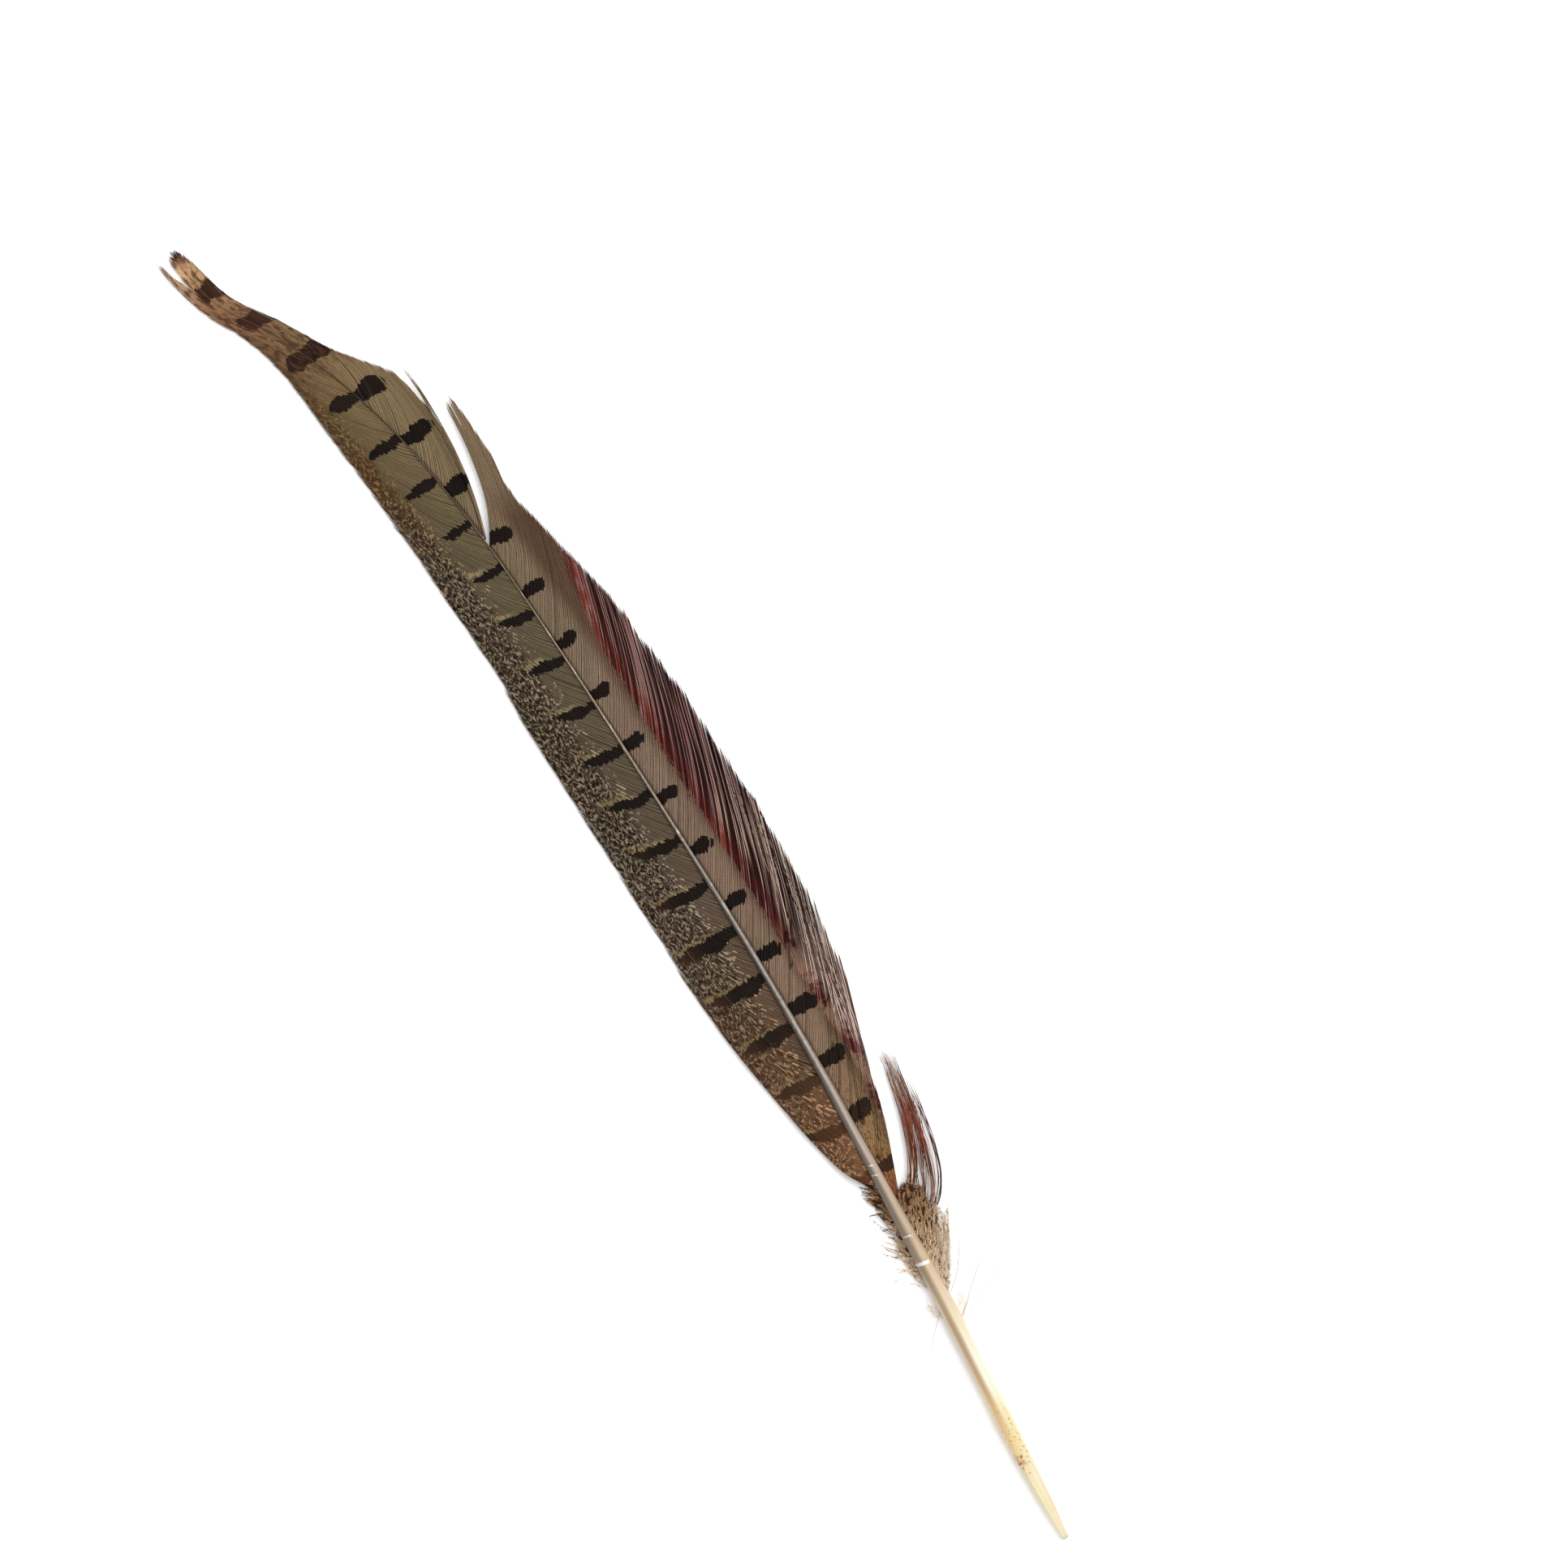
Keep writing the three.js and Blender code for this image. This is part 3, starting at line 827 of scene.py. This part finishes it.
def loose_barb_material():
    """Brown barbs, a few of them pale, with rusty patches."""
    finish = Finish("loose_barbs", 0.08)
    _, y, jitter, strand, root, across = finish.reads()
    tint = y.tints([(60, 0x4A3222), (70, 0x5C3A2A), (80, 0x6C4A3C), (90, 0x7A5C50)])
    tint = jitter.between(0.6, 0.95).mix(tint, colour(0xA8917F))
    patch = (strand * 0.25).noise(root * 0.4, 2.0)
    rust = y.between(69.5, 72.5) * y.between(84, 79) * (patch + jitter * 0.3 - 0.15).between(0.4, 0.5)
    tint = (rust * 0.9).mix(tint, colour(0x682A1A))
    shade = barb_shade(strand, root, across, jitter, finish.constant(0.0))
    return finish_web(finish, tint.times(jitter * 0.9 + 0.55), shade)


def down_material():
    """Pale down at the quill's end of the tuft, and brown with pale dashes further up."""
    finish = Finish("down", 0.06)
    out, y, jitter, strand, root, across = finish.reads()
    lengthwise = out * 0.54 + y * 0.9
    crosswise = out * 0.84 - y * 0.44
    wiggle = (lengthwise * 0.6).noise(crosswise * 0.6, 8.0) - 0.5
    dash = (lengthwise * 0.55).noise(crosswise * 2.4 + wiggle * 4.0, 2.0, 2.0, 0.6)
    pale = y.tints([
        (42, 0xE6DCCC), (48, 0xE0D0B8), (54, 0xCDB494), (60, 0xB89A76), (66, 0x98744F),
        (72, 0x7E5A40),
    ])
    dark = y.tints([(42, 0xC8B498), (48, 0xA88C6A), (53, 0x6E4F36), (60, 0x482D1B), (72, 0x3E2416)])
    brown = (dash + jitter * 0.05 - (y - 57.0) * 0.004).between(0.44, 0.5).mix(dark, pale)
    wisps = y.between(61, 55) * out.between(3.2, 5.0) * 0.85
    tint = wisps.mix(brown, pale)
    shade = barb_shade(strand, root, across, jitter, finish.constant(0.4))
    return finish_web(finish, tint.times(jitter * 0.4 + 0.92), shade)


def hair_material():
    """Grey, and paler in places."""
    finish = Finish("hair", 0.2)
    strand, root, _ = finish.attribute("strand")
    tint = (strand * 0.4).noise(root, 1.0).mix(colour(0x6E665C), colour(0xA0988C))
    return finish_web(finish, tint, finish.constant(1.0))


QUILL_SIDES = 32
QUILL_RINGS = 320
NICK_RINGS = 9
NICK_DEPTH = 0.3  # over a nick's half width
# Scratches across the shaft: y, half width, and where across they start and end.
NICKS = [
    (55.2, 0.36, -0.95, 0.55), (60.7, 0.15, -0.75, 0.1), (73.0, 0.14, -0.6, 0.0),
    (74.9, 0.13, -0.4, 0.1),
]


def horn_material():
    """Pale up to the webs, grey-brown and then dark past them, its left in tints of its own, with
    painted light and shade on its sides.
    """
    finish = Finish("horn", 0.45)
    turn, y, _ = finish.attribute("grow")
    side = turn.math("COSINE")
    top = turn.math("SINE")
    tint = y.tints([
        (0, 0xD8CCAC), (7, 0xD4C6A2), (13, 0xD8CEB1), (19, 0xD9C695), (25, 0xD9CAA0), (31, 0xDAD8C2),
        (36.5, 0xDBD5C1), (42, 0xD4C8A9), (48, 0xC7B497), (60, 0xAA947B), (80, 0x9C8D80),
        (105, 0x908479), (128, 0x7E736A), (150, 0x857563), (172, 0x8A7662), (190, 0x8A745B),
        (208, 0x6E543C), (222, 0x50392A), (245, 0x46301F), (281, 0x5A4030),
    ])
    # Its left side's tints are painted light and shade: lighter than the rest near the blunt end,
    # darker further up.
    left_painted_light_tint = y.tints([
        (0, 0xF4EAC8), (7, 0xF1E4BC), (13, 0xECDDB0), (19, 0xEBCC92), (25, 0xDDBB81), (31, 0xC6A071),
        (36.5, 0xB6977B), (42, 0xAD9174), (48, 0xAB9074), (55, 0x8C7A63), (60, 0x847360),
    ])
    left_side = side.between(0.22, -0.4)
    tint = (left_side * y.between(62, 52)).mix(tint, left_painted_light_tint)
    # Painted shade: its left side darker from y 52 on, and the rest a little lighter.
    left_painted_shade = y.table([
        (0, 1.0), (52, 1.0), (60, 0.57), (70, 0.5), (95, 0.36), (130, 0.38), (165, 0.45),
        (281, 0.6),
    ])
    shade = left_side * (left_painted_shade - 1.04) + 1.04
    # A painted rim light: a pale band along its far left, from about y 15 to 58.
    painted_rim_light = side.between(-0.5, -0.85) * y.between(15, 26) * y.between(58, 46)
    tint = (painted_rim_light * 0.5).mix(tint, colour(0xFFF0D6))
    # Painted shade along its right edge from y 40, and over its right part from y 78.
    shade = shade * (side.between(0.82, 1.0) * y.between(40, 75) * -0.5 + 1.0)
    shade = shade * (side.between(0.4, 0.85) * y.between(78, 90) * -0.45 + 1.0)
    # Streaks along it, lumps between the webs, and painted glints, highlights, on its crown.
    streak = (turn * 1.6).noise(y * 0.06, 1.0, 3.0)
    shade = shade * (streak * 0.5 + 0.75)
    lump = (y * 1.1).noise(turn * 1.1, 14.0, 3.0, 0.6)
    shade = shade * ((lump - 0.5) * 1.7 * y.between(78, 104) + 1.0)
    painted_glint = (y * 0.45).noise(turn * 0.5, 5.0).between(0.56, 0.68) * y.between(118, 140)
    painted_glint = painted_glint * y.between(215, 185) * top.between(0.35, 0.75)
    tint = (painted_glint * 0.75).mix(tint, colour(0xD8CCBA))
    # A rusty stain and specks near the blunt end, then the nicks.
    stain = ((y - 16.2) / 1.6).size().between(1.0, 0.3) * (side + 0.2).between(0.7, 0.0)
    speck = (y * 1.8).noise(turn * 2.5, 8.0)
    tint = (stain * speck.between(0.35, 0.6) * 0.7).mix(tint, colour(0xB06A2E))
    specks = speck.between(0.62, 0.68) * y.between(12, 15) * y.between(30, 19)
    tint = (specks * 0.8).mix(tint, colour(0x4A2C18))
    ragged = (side * 3.0).noise(y * 3.0, 11.0) - 0.5
    for place, half, low, high in NICKS:
        distance = (y - place + side * 0.35 + ragged * 0.3).size()
        nick = distance.between(half * 1.2, half * 0.6) * side.between(low - 0.2, low)
        nick = nick * side.between(high + 0.2, high) * top.between(-0.1, 0.3)
        tint = (nick * (ragged + 0.9)).mix(tint, colour(0xEFEBE4))
    roughness = streak * 0.3 + 0.22
    return finish.wear(tint.times(shade), roughness, streak, HORN_RELIEF)


# -------- pieces
def make_quill(material):
    """The shaft, a closed tube with extra rings at the nicks."""
    beside = np.linspace(-1, 1, NICK_RINGS)
    nick_y = [place + beside * half * 1.6 for place, half, _, _ in NICKS]
    y = np.sort(np.concatenate([np.linspace(0, LENGTH - 0.05, QUILL_RINGS), *nick_y]))
    angle = math.pi - 2 * math.pi * (np.arange(QUILL_SIDES) + 0.5) / QUILL_SIDES
    ruts = sum(
        np.exp(-(((y - place) / half) ** 2)) * half * NICK_DEPTH for place, half, _, _ in NICKS
    )
    # Its width is a few hundredths uneven, and the nicks are dents on top.
    wavy = 1 + 0.02 * wander(y, 5.0, 3) + 0.01 * wander(y, 1.7, 4)
    half_width = (at(QUILL_WIDTH, y) / 2 * wavy)[:, None]
    half_height = (at(QUILL_HEIGHT, y) / 2)[:, None]
    dent = ruts[:, None] * np.maximum(np.sin(angle), 0)[None, :]
    x = centre_x(y)[:, None] + half_width * np.cos(angle)[None, :]
    z = at(QUILL_LIFT, y)[:, None] + half_height * (1 + np.sin(angle)[None, :] - dent)
    ys = np.broadcast_to(y[:, None], x.shape)
    points = np.stack([x, ys, z], axis=-1).reshape(-1, 3)
    turn = np.broadcast_to(angle[None, :], x.shape)
    grow = np.stack([turn, ys, np.zeros_like(ys)], axis=-1).reshape(-1, 3)
    faces = tube_faces(1, len(y), QUILL_SIDES)
    return add_piece("quill_horn", points, faces, material, [("grow", grow)])


def loose_strands(groups, seed, half, under=None):
    """Strands in groups, laid on the right web of the outline under where that is given."""
    draws = np.random.default_rng(seed)
    parts = []
    for k, (count, start, middle, end, scatter) in enumerate(groups):
        path = bunch(count, start, middle, end, scatter, seed + 10 + k)
        if under is not None:
            y = path[..., 1]
            rise = draws.uniform(0.05, 0.25, (count, 1))
            path[..., 2] = web_top(y, at(under, y), path[..., 0] - centre_x(y)) + rise
        parts.append(bunch_strands(path, half, 1, draws))
    return parts


# Groups of barbs: how many, where they start, pass and end as x, y and z, and how far they
# scatter at each.
FORKED_BARBS = [
    (22, (12.8, 67.6, 1.6), (18.4, 74.4, 1.3), (23.3, 90.0, 0.7), (0.25, 0.45, 0.5)),
    (26, (12.4, 66.4, 1.7), (18.0, 73.2, 1.4), (22.9, 86.5, 0.8), (0.25, 0.45, 0.6)),
    (22, (14.6, 62.6, 1.5), (19.4, 70.6, 1.3), (23.9, 88.5, 0.9), (0.4, 0.4, 0.5)),
    (14, (13.8, 64.0, 1.4), (18.8, 71.8, 1.2), (23.2, 81.0, 0.9), (0.4, 0.45, 0.7)),
    (6, (15.4, 62.4, 1.5), (20.6, 69.6, 1.3), (24.2, 84.0, 0.9), (0.2, 0.3, 0.4)),
]
RIGHT_EDGE_BARBS = [
    (10, (12.0, 75.0, 1.0), (19.4, 89.5, 1.3), (25.4, 108.0, 0.9), (0.2, 0.25, 0.8)),
    (10, (13.2, 82.0, 1.1), (21.4, 100.5, 1.4), (26.6, 119.0, 0.9), (0.2, 0.3, 0.9)),
    (9, (14.2, 84.0, 1.1), (21.8, 97.0, 1.4), (24.6, 116.0, 0.9), (0.3, 0.5, 1.2)),
    (9, (16.5, 96.0, 1.1), (24.6, 112.0, 1.4), (27.2, 132.0, 0.9), (0.3, 0.6, 1.2)),
    (8, (19.0, 112.0, 1.1), (26.6, 128.0, 1.4), (29.0, 147.0, 0.9), (0.3, 0.6, 1.0)),
]
TIP_EDGE_BARBS = [
    (7, (18.3, 206.5, 1.2), (22.9, 222.0, 1.3), (23.8, 240.0, 0.9), (0.1, 0.25, 0.5)),
]


CLUMP_STRANDS = 78
CLUMP_START, CLUMP_LENGTH = 47.6, 19.8  # where on the shaft the strands grow


def make_right_down(material):
    """A tuft folded over: strands rise from the shaft and bend down to its right."""
    draws = np.random.default_rng(71)
    count = CLUMP_STRANDS
    share = np.linspace(0, 1, count)
    start_y = CLUMP_START + CLUMP_LENGTH * share
    starts = np.stack([centre_x(start_y) + 1.0, start_y, np.full(count, 1.5)], axis=-1)
    ends = np.stack([15.6 - 1.8 * share, 60.0 + 8.4 * share, 0.9 + 0.6 * share], axis=-1)
    ends[:, :2] += draws.normal(0, 0.8, (count, 2))
    fold_x = starts[:, 0] + 3.4 - 1.2 * share
    folds = np.stack([fold_x, start_y + 3.8 - 2.6 * share, np.full(count, 2.8)], axis=-1)
    t, path = curves(starts, folds, ends, 24)
    phase = draws.uniform(0, 2 * math.pi, (count, 1, 2))
    curl = draws.uniform(7, 13, (count, 1, 1))
    path[..., :2] += (draws.normal(0, 0.45, (count, 1, 2)) + 0.34 * np.sin(curl * t + phase)) * t
    path[..., 2:] += draws.uniform(-0.3, 0.5, (count, 1, 1)) * t
    thickness = at([(0, 0.04), (0.3, 0.06), (0.6, 0.08), (1, 0.08)], share)[:, None]
    parts = [bunch_strands(path, thickness, 1, draws)]
    parts += barbules(path, 32, length=1.5, spread=26, half=0.036, side=1, draws=draws)
    return strand_piece("right_down_clump", parts, material)


# Tufts and wisps: how many, from where to where on the shaft, how long, and half how wide.
LEFT_DOWN = [(94, 52.0, 70.8, 1.5, 3.9, 0.1), (22, 50.0, 61.0, 3.6, 6.6, 0.035)]


def make_left_down(material):
    draws = np.random.default_rng(81)
    parts = []
    for count, low, high, short, long, half in LEFT_DOWN:
        start_y = np.sort(high - (high - low) * draws.uniform(0, 1, count) ** 1.2)
        start_x = centre_x(start_y) - 1.2
        reach = draws.uniform(short, long, count)
        turn = np.radians(draws.uniform(22, 58, count))
        t = np.linspace(0, 1, 12)[None, :]
        bend = turn[:, None] + draws.uniform(-0.7, 0.2, count)[:, None] * t
        x = start_x[:, None] - reach[:, None] * t * np.sin(bend)
        y = start_y[:, None] + reach[:, None] * t * np.cos(bend)
        z = 1.2 - 0.7 * t + draws.uniform(-0.1, 0.3, count)[:, None] * t
        path = np.stack([x, y, z], axis=-1)
        parts.append(bunch_strands(path, half, -1, draws))
        parts += barbules(path, 14, length=0.8, spread=34, half=0.028, side=-1, draws=draws)
    return strand_piece("left_down_tufts", parts, material)


# Bunches of strands on the bare shaft: side, and where they start, pass and end.
BASAL_TUFTS = [
    (1, (7.4, 43.0, 1.9), (9.4, 45.0, 1.5), (10.4, 47.4, 0.9)),
    (-1, (5.1, 45.2, 1.2), (4.2, 46.4, 0.9), (3.6, 48.2, 0.5)),
]
BASAL_HAIRS = [
    (1, (7.4, 42.3, 1.9), (14.0, 45.1, 1.6), (19.4, 46.6, 0.8)),
    (1, (7.7, 43.4, 1.9), (12.1, 46.4, 1.5), (17.3, 50.3, 0.8)),
    (1, (8.4, 48.1, 1.9), (12.4, 51.2, 1.6), (15.7, 56.5, 0.9)),
    (1, (15.9, 62.7, 1.6), (17.6, 65.0, 1.5), (19.5, 66.5, 1.0)),
    (-1, (5.2, 46.4, 1.2), (2.2, 44.0, 0.8), (-0.8, 41.4, 0.4)),
]


def make_basal(name, bunches, material, half, seeds, count, scatter, points, waves):
    """Bunches of count strands each; seeds are of the strands' widths and of the first path."""
    draws = np.random.default_rng(seeds[0])
    parts = []
    for k, (side, start, middle, end) in enumerate(bunches):
        path = bunch(count, start, middle, end, scatter, seeds[1] + k, points, waves)
        parts.append(bunch_strands(path, half, side, draws))
    return strand_piece(name, parts, material)


left_material = left_web_material()
right_material = right_web_material()
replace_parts(make_quill(horn_material()), "quill")
left_web = strand_piece("left_web_barbs", [make_web(LEFT_WEB)], left_material)
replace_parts(left_web, "left_web")
right_parts = [make_web(RIGHT_WEB), *loose_strands(RIGHT_EDGE_BARBS, 51, 0.08, RIGHT_OUT)]
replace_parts(strand_piece("right_web_barbs", right_parts, right_material), "right_web")
tip_parts = [make_web(RIGHT_TIP_WEB), *loose_strands(TIP_EDGE_BARBS, 52, 0.08)]
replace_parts(strand_piece("right_tip_barbs", tip_parts, right_material), "right_tip_web")
forked = strand_piece(
    "forked_barbs", loose_strands(FORKED_BARBS, 53, 0.07), loose_barb_material()
)
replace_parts(forked, "right_loose_barbs")
down = down_material()
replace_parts(make_right_down(down), "right_down")
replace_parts(make_left_down(down), "left_down")
make_basal("basal_tufts", BASAL_TUFTS, down, 0.024, (93, 105), 20, (0.35, 0.5, 0.9), 12, 0.3)
make_basal(
    "basal_hairs", BASAL_HAIRS, hair_material(), 0.035, (91, 95), 1, (0.0, 0.1, 0.1), 24, 0.15
)

# -------- camera, floor and light, placed in metres
PHOTO_WIDTH = 1932
MM_PER_PIXEL = 0.1459
PHOTO_MIDDLE = (36.75, 139.65)  # the spot, in the feather's x and y, under the camera
CAMERA_HEIGHT = 0.6
CAMERA_TURN = math.radians(-35.265)
SENSOR_WIDTH = 36

camera_data = bpy.data.cameras.new("camera")
camera_data.sensor_width = SENSOR_WIDTH
camera_data.lens = SENSOR_WIDTH * CAMERA_HEIGHT / (PHOTO_WIDTH * MM_PER_PIXEL * MM)
camera = add_object("camera", camera_data)
camera.location = (
    (PHOTO_MIDDLE[0] + OFFSET_X) * MM,
    (PHOTO_MIDDLE[1] + OFFSET_Y) * MM,
    CAMERA_HEIGHT,
)
camera.rotation_euler = (0, 0, CAMERA_TURN)
bpy.context.scene.camera = camera

# The photo's backdrop is overexposed, so that shadows on it are faint: it glows a little here.
FLOOR_GLOW = 0.14
FLOOR_TINT = (0.95, 0.95, 0.95, 1)
FLOOR_HALF = 3
floor_corners = [(x * FLOOR_HALF, y * FLOOR_HALF, 0) for x, y in ((-1, -1), (1, -1), (1, 1), (-1, 1))]
floor_mesh = bpy.data.meshes.new("floor")
floor_mesh.from_pydata(floor_corners, [], [(0, 1, 2, 3)])
floor = add_object("floor", floor_mesh)
floor_material = bpy.data.materials.new("floor")
floor_material.use_nodes = True
floor_shader = floor_material.node_tree.nodes["Principled BSDF"]
for label, value in (
    ("Base Color", FLOOR_TINT), ("Roughness", 0.9), ("Specular IOR Level", 0.1),
    ("Emission Color", (1, 1, 1, 1)), ("Emission Strength", FLOOR_GLOW),
):
    floor_shader.inputs[label].default_value = value
floor_mesh.materials.append(floor_material)

WORLD_STRENGTH = 0.6
LAMP_PLACE = (0.6, 0.15, 0.85)
LAMP_SIZE = 0.9
LAMP_WATTS = 11.5
world = bpy.data.worlds.new("studio")
world.use_nodes = True
background = world.node_tree.nodes["Background"]
background.inputs[0].default_value = (1, 1, 1, 1)
background.inputs[1].default_value = WORLD_STRENGTH
bpy.context.scene.world = world
lamp_data = bpy.data.lights.new("softbox", "AREA")
lamp_data.size = LAMP_SIZE
lamp_data.energy = LAMP_WATTS
lamp = add_object("softbox", lamp_data)
lamp.location = LAMP_PLACE
lamp.rotation_euler = Vector(LAMP_PLACE).to_track_quat("Z", "Y").to_euler()
bpy.context.scene.view_settings.view_transform = "Standard"
